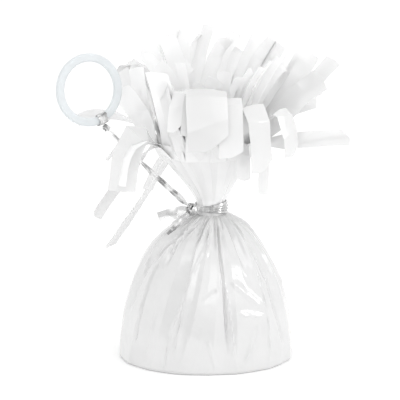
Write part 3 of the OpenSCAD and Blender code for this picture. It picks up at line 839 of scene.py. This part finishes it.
def bouquet_sheet(name, film, rows, levels, width, shapes, painted_shading_by_strip, pleat_seed, seed):
    """A funnel of film whose rim runs on into cut strips, as one sheet. Each of its levels is
    (lean, height, radius, pleat depth), and shapes are those of single strips of the second
    ply."""
    per_strip, pleats, freed_height, under_drop = 7, 15, 12 * MM, (3.4 * MM, 5 * MM)
    rim_free, under_free, loose_by, parted_by = 0.5, 0.3, 0.3, 0.35
    draw = random.Random(seed)
    count = len(rows)
    columns = count * per_strip
    step = 360 / count
    top = len(levels) - 1
    _, rim_z, rim_r, _ = levels[top]
    azimuth = np.array([rows[0][0] - step / 2 + step * j / per_strip for j in range(columns)])
    pleat = funnel_pleats(azimuth % 360, pleats, pleat_seed)
    turn = np.radians(azimuth)
    points, faces, loose, painted_shading = [], [], [], {}
    for lean, height, radius, depth in levels:
        points += list(ring_points(turn, radius + depth * pleat, height, lean))
        loose += [rim_free * eased((height - BAND_TOP) / freed_height)] * columns

    # The cuts between the strips run on below the rim, so one lip of each cut has its own points
    lips = {}
    for k in range(count):
        cut = draw.randint(2, 8)
        j = k * per_strip
        out = outward(turn[j])
        for i in range(cut):
            level = top - i
            lips[level, j] = len(points)
            open_by = (1 - i / cut) * draw.uniform(0.5, 0.9) * MM
            points.append(points[level * columns + j] - out * open_by)
            loose.append(loose[level * columns + j])

    def corner(level, j, lip):
        j = j % columns
        return lips.get((level, j), level * columns + j) if lip else level * columns + j

    def add_row(line, share, rooted, k, below):
        """Adds a row of strip k, looser the farther along, and joins it to the row below."""
        here = list(range(len(points), len(points) + per_strip + 1))
        points.extend(line)
        loose.extend([rooted + (1 - rooted) * float(eased(share / loose_by))] * len(here))
        # Painted light and shade: the strip's colour is scaled by its share, more the farther from the
        # rim
        shade = 1 + (painted_shading_by_strip.get(k, 1) - 1) * eased(share / parted_by)
        painted_shading.update((i, shade) for i in here)
        if below:
            faces.extend((below[j], here[j], here[j + 1], below[j + 1])
                         for j in range(per_strip))
        return here

    for i in range(top):
        for j in range(columns):
            ends = (j + 1) % per_strip == 0
            faces.append((corner(i, j, False), corner(i + 1, j, False),
                          corner(i + 1, j + 1, ends), corner(i, j + 1, ends)))
    across = np.linspace(-0.5, 0.5, per_strip + 1)
    paths = [strip_path(row, rim_z, rim_r, film.fringe_reach) for row in rows]
    for k, path in enumerate(paths):
        broad = width * draw.uniform(0.92, 1.04)
        strip = strip_rows(path, broad, draw, across)
        below = [corner(top, k * per_strip + j, j == per_strip) for j in range(per_strip + 1)]
        shift = [points[below[j]] - strip[0][1][j] for j in range(per_strip + 1)]
        for share, line in strip[1:]:
            still = 1 - eased(share / parted_by)
            line = [p + still * shift[j] for j, p in enumerate(line)]
            below = add_row(line, share, rim_free, k, below)
    for k, path in enumerate(paths):
        shape = shapes.get(k)
        under = under_path(
            path, paths[(k + 1) % count], under_drop, draw, shape, film.fringe_reach)
        broad = width * (shape[2] if shape else draw.uniform(0.85, 1.25))
        below = None
        for share, line in strip_rows(under, broad, draw, across):
            below = add_row(line, share, under_free, k, below)
    piece = mesh_object(name, points, faces)
    point_attribute(piece, "loose", "FLOAT", loose)
    point_attribute(piece, "painted_shading", "FLOAT", [painted_shading.get(i, 1.0) for i in range(len(points))])
    return piece


def thin_wall(piece, thickness, offset):
    made = piece.modifiers.new("Film wall", "SOLIDIFY")
    made.thickness = thickness
    made.offset = offset
    made.use_rim = True


# Ribbon paths

def lay_ribbon(name, paths, width, pleats, pleat_depth, crinkle_depth, crinkle_size, seed):
    """Makes a ribbon piece from paths of (point, facing, broad)."""
    points, edges, facing, broad = [], [], [], []
    for path in paths:
        edges += [(len(points) + i, len(points) + i + 1) for i in range(len(path) - 1)]
        points += [p for p, _, _ in path]
        facing += [f for _, f, _ in path]
        broad += [b for _, _, b in path]
    piece = mesh_object(name, points, [], edges)
    point_attribute(piece, "facing", "FLOAT_VECTOR", facing)
    point_attribute(piece, "broad", "FLOAT", broad)
    run_tree(piece, ribbon_tree(), {
        "Width": width, "Pleats": pleats, "Pleat depth": pleat_depth,
        "Crinkle depth": crinkle_depth, "Crinkle size": crinkle_size, "Seed": seed,
        "Material": material_for("Metallised polyester ribbon", foil_ribbon_material)})
    thin_wall(piece, bpy.context.scene.weight_ribbon.foil, 0)
    return bake(piece, 22)


def wraps_round(centre, axis, start, radius, turns, tilt):
    """A few turns of ribbon round a knot, each about its own axis, swelling a little."""
    path, steps = [], 26
    count = int(turns * steps)
    for i in range(count + 1):
        turn = 2 * math.pi * i / steps
        lean = tilt * i / steps
        way = turned(axis, start, lean)
        reach = unit(turned(unit(start - (start @ way) * way), way, turn))
        swell = radius * (1 + 0.06 * math.sin(3 * turn + lean) + 0.05 * i / count)
        path.append((centre + reach * swell, reach, 1 - 0.25 * abs(math.sin(turn * 1.5))))
    return path


# What the operators share

def material_for(name, maker, *values):
    return bpy.data.materials.get(name) or maker(*values)


def film_material(name, colour, free_colour, through_share):
    return material_for(
        name, pearl_film_material, name, tuple(colour), tuple(free_colour), through_share)


def crinkle(piece, depth, size, material, seed, sharp_degrees):
    """Gives a film piece its crinkles, and makes it a plain mesh."""
    run_tree(piece, film_tree(), {
        "Depth": depth, "Size": size, "Seed": seed, "Material": material})
    bake(piece, sharp_degrees)


def finish_sheet(piece, film, material, seed, strip, count, *nodes):
    """Gives a bouquet's sheet its wall and crinkles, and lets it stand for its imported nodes."""
    thin_wall(piece, film.wall, 0)
    crinkle(piece, film.strip_crinkle_depth, film.strip_crinkle_size, material, seed,
            sharp_degrees=25)
    strips = ["%s_%d" % (strip, i + 1) for i in range(count)]
    settle(piece, "weight", "pearl_film", *nodes, *strips)


# Operators

class BALLOON_OT_film_wrap(bpy.types.Operator):
    """Make the pleated film over the dome and under the base"""
    bl_idname = "balloon_weight.film_wrap"
    bl_label = "Film wrap"

    def execute(self, context):
        film = context.scene.weight_film
        split, rows_above, rows_below, level_foot = 0.55, 46, 58, 0.03
        base_crease, creases_end, edge, pole = 0.4, 0.8, 1.2 * MM, 0.1 * MM
        held_at_top, held_at_foot = 0.25, 0.12
        net = crease_columns()
        columns = len(net)
        rise = np.concatenate([
            np.linspace(1, split, rows_above, endpoint=False),
            np.linspace(split, 0, rows_below)])
        lean, height, radius, out = wrap_outline(film, rise)
        swell = base_crease + (1 - base_crease) * np.sin(math.pi * rise)
        end = 1 - eased((rise - creases_end) / (1 - creases_end))
        azimuth, flat = crease_net(net, rise, radius, film.crease_depth * swell * end)
        folds = self.folds(film, rise, radius, azimuth, flat)
        turn = np.radians(azimuth)
        r = flat + folds * out[0][:, None]
        z = np.maximum(height, edge)[:, None] + folds * (out[1] * (rise > level_foot))[:, None]
        grid = ring_points(turn, r, z, lean[:, None])
        under = self.under_base(film, turn[-1], r[-1], edge)
        rings = [self.collar(film, turn[0])] + list(grid) + under
        points = np.concatenate(rings + [np.array([[0, 0, pole]])])
        piece = mesh_object("film_wrap", points,
                            closed_rings(len(rings), columns, len(points) - 1))
        free = eased((1 - rise) / held_at_top) * eased(rise / held_at_foot)
        loose = np.concatenate([
            np.zeros(columns), np.repeat(free, columns), np.zeros(columns * len(under) + 1)])
        point_attribute(piece, "loose", "FLOAT", loose)
        thin_wall(piece, film.wall, -1)
        # Painted shade: the bouquet's film, in the wrap's darker colour
        material = film_material(
            "Pearlised polypropylene film", film.wrap_colour, film.wrap_colour,
            through_share=0.0)
        crinkle(
            piece, film.crinkle_depth, film.crinkle_size, material, seed=3.0, sharp_degrees=30)
        settle(piece, "weight", "pearl_film", "wrap_body", "wrap_base")
        return {"FINISHED"}

    def folds(self, film, rise, radius, azimuth, flat):
        """Heights of the smaller folds, calm at the neck and shallow at the base's edge."""
        crown, deepest, inside = 76 * MM, 1.1 * MM, 1.6 * MM
        at_neck, calm_width, at_edge, edge_rise = 0.25, 9 * MM, 0.35, 0.06
        up = np.broadcast_to(rise[:, None], flat.shape)
        wide = np.broadcast_to(radius[:, None], flat.shape)
        folds = fold_heights(FRONT_FOLDS + hidden_folds(film), azimuth, up, wide, crown)
        calm = np.clip(at_neck + (wide - film.neck_radius) / calm_width, 0, 1)
        folds = np.clip(film.fold_scale * folds, -deepest, deepest) * calm
        folds *= at_edge + (1 - at_edge) * eased(up / edge_rise)
        return np.maximum(folds, wide - flat - inside)

    def collar(self, film, turn):
        """The wrap's top edge, inside the ribbon."""
        inset, drop, ripples, ripple = 0.15 * MM, 0.2 * MM, 13, 0.2 * MM
        reach = film.neck_radius - inset + ripple * np.sin(ripples * turn)
        return ring_points(turn, reach, NECK_MID - drop, film.neck_lean)

    def under_base(self, film, around, rim, edge):
        """The rings that turn under the base's edge and run in, rippled, to its middle."""
        rings, ripples, highest, clearance = [], 60, 0.14 * MM, 0.02 * MM
        for share in (0.35, 0.65, 0.87, 1.0):
            angle = share * math.pi / 2
            reach = rim - edge * (1 - math.cos(angle))
            rings.append(ring_points(around, reach, edge * (1 - math.sin(angle))))
        draw = random.Random(film.seed + 1)
        ripple = np.interp(
            np.degrees(around) % 360, np.arange(ripples) * (360 / ripples),
            [draw.uniform(0, highest) for _ in range(ripples)], period=360)
        for share in (0.9, 0.8, 0.65, 0.5, 0.35, 0.2, 0.08):
            height = ripple * (1 - share) ** 0.5 + clearance
            rings.append(ring_points(around, (rim - edge) * share, height))
        return rings


class BALLOON_OT_outer_bouquet(bpy.types.Operator):
    """Make the outer sheet of film above the neck, with its cut strips"""
    bl_idname = "balloon_weight.outer_bouquet"
    bl_label = "Outer bouquet"

    def execute(self, context):
        film = context.scene.weight_film
        foot = [(film.neck_lean, NECK_MID, film.neck_radius - 0.1 * MM, 0.15 * MM)]
        pleats = (0.25 * MM, 1.3 * MM, 0.5 * MM)
        levels = foot + funnel_levels(
            film, film.neck_radius, film.outer_rim_radius, OUTER_RIM, pleats, 0)
        piece = bouquet_sheet(
            "film_outer_bouquet", film, OUTER_STRIPS, levels, film.outer_strip_width,
            OUTER_PLY_SHAPES, STRIP_PAINTED_SHADING, pleat_seed=11, seed=21)
        # Painted light and shade: the free strips take the greyer strip colour, and each strip its own
        # share of it
        material = film_material(
            "Pearlised polypropylene film in one layer", film.sheet_colour, film.strip_colour,
            through_share=0.45)
        finish_sheet(
            piece, film, material, 5.0, "outer_strip", len(OUTER_STRIPS), "outer_funnel")
        return {"FINISHED"}


class BALLOON_OT_inner_bouquet(bpy.types.Operator):
    """Make the inner sheet of film, from the gather in the neck to its cut strips"""
    bl_idname = "balloon_weight.inner_bouquet"
    bl_label = "Inner bouquet"

    def execute(self, context):
        film = context.scene.weight_film
        gather_r, gather_pleat, gather_steps = 4.7 * MM, 0.35 * MM, 7
        foot_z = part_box("neck_gather")[0].z
        foot = [
            (film.neck_lean, foot_z + (BAND_TOP - foot_z) * i / gather_steps, gather_r,
             gather_pleat)
            for i in range(gather_steps + 1)]
        pleats = (0.35 * MM, 0.8 * MM, 0.3 * MM)
        levels = foot + funnel_levels(
            film, gather_r, film.inner_rim_radius, INNER_RIM, pleats, 1)
        piece = bouquet_sheet(
            "film_inner_bouquet", film, INNER_STRIPS, levels, film.inner_strip_width,
            INNER_PLY_SHAPES, {}, pleat_seed=12, seed=22)
        material = film_material(
            "Pearlised polypropylene film with light behind it", film.sheet_colour,
            film.sheet_colour, through_share=0.8)
        finish_sheet(
            piece, film, material, 9.0, "inner_strip", len(INNER_STRIPS), "inner_funnel",
            "neck_gather")
        return {"FINISHED"}


class BALLOON_OT_neck_ribbon(bpy.types.Operator):
    """Wind the foil ribbon round the neck and tie its knot"""
    bl_idname = "balloon_weight.neck_ribbon"
    bl_label = "Neck ribbon"

    def execute(self, context):
        ribbon = context.scene.weight_ribbon
        centre = np.array([context.scene.weight_film.neck_lean, 0, NECK_MID])
        self.band(ribbon, centre)
        self.knot(centre)
        return {"FINISHED"}

    def band(self, ribbon, centre):
        """Two laps that start and end narrow, side by side at the knot."""
        laps, steps, knot_azimuth = 2, 44, math.radians(218)
        lap_r, lap_growth, bulge, lift = 6.15 * MM, 0.14 * MM, 0.25 * MM, 0.35 * MM
        narrow, widening, rocking = 0.42, 0.66, 0.1
        path = []
        for i in range(laps * steps + 1):
            lap = i / steps
            azimuth = knot_azimuth + 2 * math.pi * lap
            spread = 0.5 - 0.5 * math.cos(2 * math.pi * lap)
            out = outward(azimuth)
            reach = lap_r + lap_growth * lap + bulge * spread
            height = lift * spread * (1 - lap)
            facing = unit(out + UP * rocking * math.sin(2 * azimuth))
            path.append((centre + out * reach + UP * height, facing, narrow + widening * spread))
        piece = lay_ribbon(
            "ribbon_neck_band", [path], ribbon.band_width, pleats=4, pleat_depth=0.4 * MM,
            crinkle_depth=0.6 * MM, crinkle_size=3 * MM, seed=1.0)
        settle(piece, "weight", "foil_ribbon", "neck_band")

    def knot(self, centre):
        out = unit(np.array([NECK_KNOT[0] - centre[0], NECK_KNOT[1], 0]))
        side = np.cross(UP, out)
        turns = [
            wraps_round(NECK_KNOT, side, UP, radius=1.75 * MM, turns=1.1, tilt=0.5),
            wraps_round(
                NECK_KNOT, unit(side + UP), out, radius=2.05 * MM, turns=1.1, tilt=0.6),
            wraps_round(
                NECK_KNOT, unit(out + UP * 0.6), side, radius=2.3 * MM, turns=1.05, tilt=0.4),
        ]
        piece = lay_ribbon(
            "ribbon_neck_knot", turns, width=2.8 * MM, pleats=2, pleat_depth=0.5 * MM,
            crinkle_depth=0.8 * MM, crinkle_size=2.4 * MM, seed=4.0)
        settle(piece, "weight", "foil_ribbon", "neck_knot")


class BALLOON_OT_ribbon_tails(bpy.types.Operator):
    """Make the wide and the narrow tail of the neck's knot"""
    bl_idname = "balloon_weight.ribbon_tails"
    bl_label = "Ribbon tails"

    def execute(self, context):
        # Name, node, way out of the knot, middle and tip as shares of the reach, turn and width
        ribbon = context.scene.weight_ribbon
        tails = [
            ("ribbon_wide_tail", "wide_tail", (-0.42, -0.80, -0.02), (-0.42, -0.40, -0.02),
             (-0.95, -0.56, -0.15), 15, ribbon.wide_tail_width),
            ("ribbon_narrow_tail", "narrow_tail", (-0.30, -0.92, -0.25), (-0.30, -0.46, -0.25),
             (-0.68, -0.58, -0.64), 60, ribbon.narrow_tail_width),
        ]
        for name, node, first, middle, tip, turn, width in tails:
            path = self.tail(ribbon.tail_reach, first, middle, tip, turn)
            piece = lay_ribbon(
                name, [path], width, pleats=1, pleat_depth=0.5 * MM, crinkle_depth=0.5 * MM,
                crinkle_size=4 * MM, seed=6.0)
            settle(piece, "weight", "foil_ribbon", node)
        return {"FINISHED"}

    def tail(self, reach, first, middle, tip, turn):
        """A path from the knot's skin to the tip, kinked to either side in turn."""
        knot_r, kink_depth, steps = 1.6 * MM, 0.2 * MM, 14
        root = NECK_KNOT + knot_r * unit(np.array(first))
        middle = NECK_KNOT + reach * np.array(middle)
        tip = NECK_KNOT + reach * np.array(tip)
        path = []
        for i in range(steps + 1):
            s = i / steps
            at, way = bow(root, middle, tip, s)
            flat = unit(UP - (UP @ way) * way)
            wide = turned(flat, way, math.radians(turn) * s)
            kink = kink_depth * (1 if i % 5 == 1 else -0.6 if i % 5 == 3 else 0)
            face = np.cross(way, wide)
            path.append((at + face * kink, face, 0.5 + 0.5 * float(eased(s / 0.35))))
        return path


class BALLOON_OT_ribbon_lead(bpy.types.Operator):
    """Make the twisted ribbon lead from the neck's knot to the ring's knot"""
    bl_idname = "balloon_weight.ribbon_lead"
    bl_label = "Ribbon lead"

    def execute(self, context):
        # The lead starts clear of the neck's knot, so that it swings down past it
        ribbon = context.scene.weight_ribbon
        root_gap, tip_gap, sag, steps = 2.8 * MM, 1.6 * MM, 0.6 * MM, 90
        twist_from, twist_over = 0.42, 0.45
        way = unit(LOOP_KNOT - NECK_KNOT)
        root = NECK_KNOT + root_gap * way
        tip = LOOP_KNOT - tip_gap * way
        middle = (root + tip) / 2 - UP * sag
        path = []
        for i in range(steps + 1):
            s = i / steps
            at, along = bow(root, middle, tip, s)
            flat = unit(UP - (UP @ along) * along)
            twist = eased((s - twist_from) / twist_over)
            turn = math.pi * ribbon.half_turns * twist + 0.4 * math.sin(8 * s)
            wide = turned(flat, along, turn)

            # It widens out of the knot, narrows where it twists, and ends narrower
            broad = 0.98 + 0.08 * math.sin(11 * s) - 0.4 * math.sin(math.pi * twist)
            broad *= 0.4 + 0.6 * eased(s / 0.07) - 0.35 * eased((s - 0.72) / 0.1)
            path.append((at, np.cross(along, wide), broad))
        piece = lay_ribbon(
            "ribbon_lead_twist", [path], ribbon.lead_width, pleats=2, pleat_depth=0.7 * MM,
            crinkle_depth=0.35 * MM, crinkle_size=3.5 * MM, seed=8.0)
        settle(piece, "lead", "foil_ribbon", "ribbon_lead")
        return {"FINISHED"}


class BALLOON_OT_ring_ribbon(bpy.types.Operator):
    """Wind the ribbon round the ring and tie its small knot"""
    bl_idname = "balloon_weight.ring_ribbon"
    bl_label = "Ring ribbon"

    def execute(self, context):
        down = unit(LOOP_KNOT - RING_CENTRE)
        tangent = np.cross(RING_AXIS, down)
        self.wraps(down, tangent)
        self.knot(down, tangent)
        return {"FINISHED"}

    def wraps(self, down, tangent):
        """Turns round the ring's squarish section, laid side by side along it."""
        steps, turns, spread = 30, 3.3, math.radians(15)
        middle_r, wrap_r, wrap_axial = 12.85 * MM, 2.1 * MM, 1.65 * MM
        path = []
        for i in range(int(steps * turns) + 1):
            lap = i / (steps * turns)
            turn = 2 * math.pi * i / steps
            swing = spread * (lap - 0.5)
            radial = down * math.cos(swing) + tangent * math.sin(swing)
            c, s = math.cos(turn), math.sin(turn)
            square = min((abs(c) ** 4 + abs(s) ** 4) ** -0.25, 1.12)
            at = RING_CENTRE + radial * middle_r + (
                radial * c * wrap_r + RING_AXIS * s * wrap_axial) * square
            out = radial * c + RING_AXIS * s
            path.append((at, out, 0.85 + 0.2 * math.sin(5 * turn)))
        piece = lay_ribbon(
            "ribbon_ring_wraps", [path], width=2.3 * MM, pleats=4, pleat_depth=0.22 * MM,
            crinkle_depth=0.25 * MM, crinkle_size=1.6 * MM, seed=2.0)
        settle(piece, "loop", "foil_ribbon", "ring_loop")

    def knot(self, down, tangent):
        turns = [
            wraps_round(LOOP_KNOT, tangent, down, radius=1.1 * MM, turns=1.1, tilt=0.5),
            wraps_round(
                LOOP_KNOT, unit(tangent + down), RING_AXIS, radius=1.35 * MM, turns=1.1,
                tilt=0.5),
        ]
        piece = lay_ribbon(
            "ribbon_ring_knot", turns, width=2.0 * MM, pleats=4, pleat_depth=0.3 * MM,
            crinkle_depth=0.4 * MM, crinkle_size=1.3 * MM, seed=5.0)
        settle(piece, "loop", "foil_ribbon", "ring_knot")


class BALLOON_OT_moulded_parts(bpy.types.Operator):
    """Give the ring, the dome, the fill and the card their materials"""
    bl_idname = "balloon_weight.moulded_parts"
    bl_label = "Moulded parts"

    def execute(self, context):
        makers = {
            "ring": ring_material, "weight_cup": dome_material, "weight_fill": fill_material,
            "base_disc": card_material,
        }
        for name, maker in makers.items():
            mesh = frame["nodes"][name].data
            made = maker()
            if not mesh.materials:
                mesh.materials.append(made)
            for i in range(len(mesh.materials)):
                mesh.materials[i] = made
        return {"FINISHED"}


class BALLOON_OT_studio(bpy.types.Operator):
    """Set up the floor, the soft light and the camera"""
    bl_idname = "balloon_weight.studio"
    bl_label = "Studio"

    def execute(self, context):
        # Name, side and place of each soft lamp in metres, and what they look at
        studio = context.scene.weight_studio
        lamps = (
            ("Key softbox", 0.21, studio.key_power, (0.92, -0.2, 0.5)),
            ("Fill softbox", 0.8, studio.fill_power, (0.07, -0.85, 0.75)))
        lit = Vector((0, 0, 0.06))
        context.scene.view_settings.view_transform = "Standard"
        self.floor(studio)
        self.sky(studio)
        for name, size, power, place in lamps:
            lamp = bpy.data.lights.new(name, "AREA")
            lamp.shape, lamp.size, lamp.energy = "SQUARE", size, power
            self.aim(lamp, Vector(place), lit)
        self.camera(studio)
        return {"FINISHED"}

    def floor(self, studio):
        half, lift = 6.0, 0.09
        corners = [(x * half, y * half, 0) for x, y in ((-1, -1), (1, -1), (1, 1), (-1, 1))]
        piece = mesh_object("studio_floor", corners, [(0, 1, 2, 3)])
        piece.data.materials.append(paper_sweep_material(studio, lift))

    def sky(self, studio):
        """Even white light, but for the unlit room in front of the set, which the film and the
        foil mirror as grey. The camera itself sees pure white."""
        room_way, room_edge, room_core = (-0.42, -0.9, 0.12), 0.62, 0.9
        world = bpy.data.worlds.new("Studio white")
        world.use_nodes = True
        bpy.context.scene.world = world
        tree = world.node_tree
        path = add_node(tree, "ShaderNodeLightPath")
        way = add_node(tree, "ShaderNodeTexCoord").outputs["Generated"]
        ahead = add_node(
            tree, "ShaderNodeVectorMath", {0: way, 1: room_way}, operation="DOT_PRODUCT")
        mirrored = add_node(
            tree, "ShaderNodeMapRange",
            {"Value": ahead.outputs["Value"], "From Min": room_edge, "From Max": room_core,
             "To Min": studio.sky, "To Max": studio.sky * studio.room},
            interpolation_type="SMOOTHSTEP")
        both = add_node(
            tree, "ShaderNodeMix",
            {0: path.outputs["Is Glossy Ray"], 2: studio.sky, 3: mirrored.outputs["Result"]})
        light = add_node(
            tree, "ShaderNodeMix",
            {0: path.outputs["Is Camera Ray"], 2: both.outputs[0], 3: 1.0})
        shade = tree.nodes["Background"]
        shade.inputs["Color"].default_value = (1, 1, 1, 1)
        tree.links.new(light.outputs[0], shade.inputs["Strength"])

    def aim(self, data, place, target):
        made = bpy.data.objects.new(data.name, data)
        bpy.context.scene.collection.objects.link(made)
        made.location = place
        made.rotation_euler = (target - place).to_track_quat("-Z", "Y").to_euler()
        return made

    def camera(self, studio):
        data = bpy.data.cameras.new("Camera")
        data.lens = studio.focal_length
        data.sensor_width = 36
        data.clip_end = 30
        distance = studio.frame_width * data.lens / data.sensor_width
        target = Vector((-2.4 * MM, 0, 64.6 * MM))
        back = Vector((0, -math.cos(studio.elevation), math.sin(studio.elevation)))
        bpy.context.scene.camera = self.aim(data, target + back * distance, target)


class BALLOON_PT_pieces(bpy.types.Panel):
    """Lists the pieces of the balloon weight and their settings"""
    bl_label = "Balloon weight"
    bl_idname = "BALLOON_PT_pieces"
    bl_space_type = "VIEW_3D"
    bl_region_type = "UI"
    bl_category = "Balloon weight"

    def draw(self, context):
        for group in ("weight_film", "weight_ribbon", "weight_moulded", "weight_studio"):
            settings = getattr(context.scene, group)
            box = self.layout.box()
            for name in settings.__annotations__:
                box.prop(settings, name)
        for operator in OPERATORS:
            self.layout.operator(operator.bl_idname)


GROUPS = {
    "weight_film": FilmSettings, "weight_ribbon": RibbonSettings,
    "weight_moulded": MouldedSettings, "weight_studio": StudioSettings,
}
OPERATORS = [
    BALLOON_OT_studio, BALLOON_OT_film_wrap, BALLOON_OT_outer_bouquet,
    BALLOON_OT_inner_bouquet, BALLOON_OT_neck_ribbon, BALLOON_OT_ribbon_tails,
    BALLOON_OT_ribbon_lead, BALLOON_OT_ring_ribbon, BALLOON_OT_moulded_parts,
]


def register():
    for name, group in GROUPS.items():
        bpy.utils.register_class(group)
        setattr(bpy.types.Scene, name, bpy.props.PointerProperty(type=group))
    for made in OPERATORS + [BALLOON_PT_pieces]:
        bpy.utils.register_class(made)


def unregister():
    for made in [BALLOON_PT_pieces] + OPERATORS[::-1]:
        bpy.utils.unregister_class(made)
    for name, group in GROUPS.items():
        delattr(bpy.types.Scene, name)
        bpy.utils.unregister_class(group)


def main():
    register()
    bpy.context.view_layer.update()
    bpy.ops.balloon_weight.studio()
    bpy.ops.balloon_weight.film_wrap()
    bpy.ops.balloon_weight.outer_bouquet()
    bpy.ops.balloon_weight.inner_bouquet()
    bpy.ops.balloon_weight.neck_ribbon()
    bpy.ops.balloon_weight.ribbon_tails()
    bpy.ops.balloon_weight.ribbon_lead()
    bpy.ops.balloon_weight.ring_ribbon()
    bpy.ops.balloon_weight.moulded_parts()


if __name__ == "__main__":
    main()
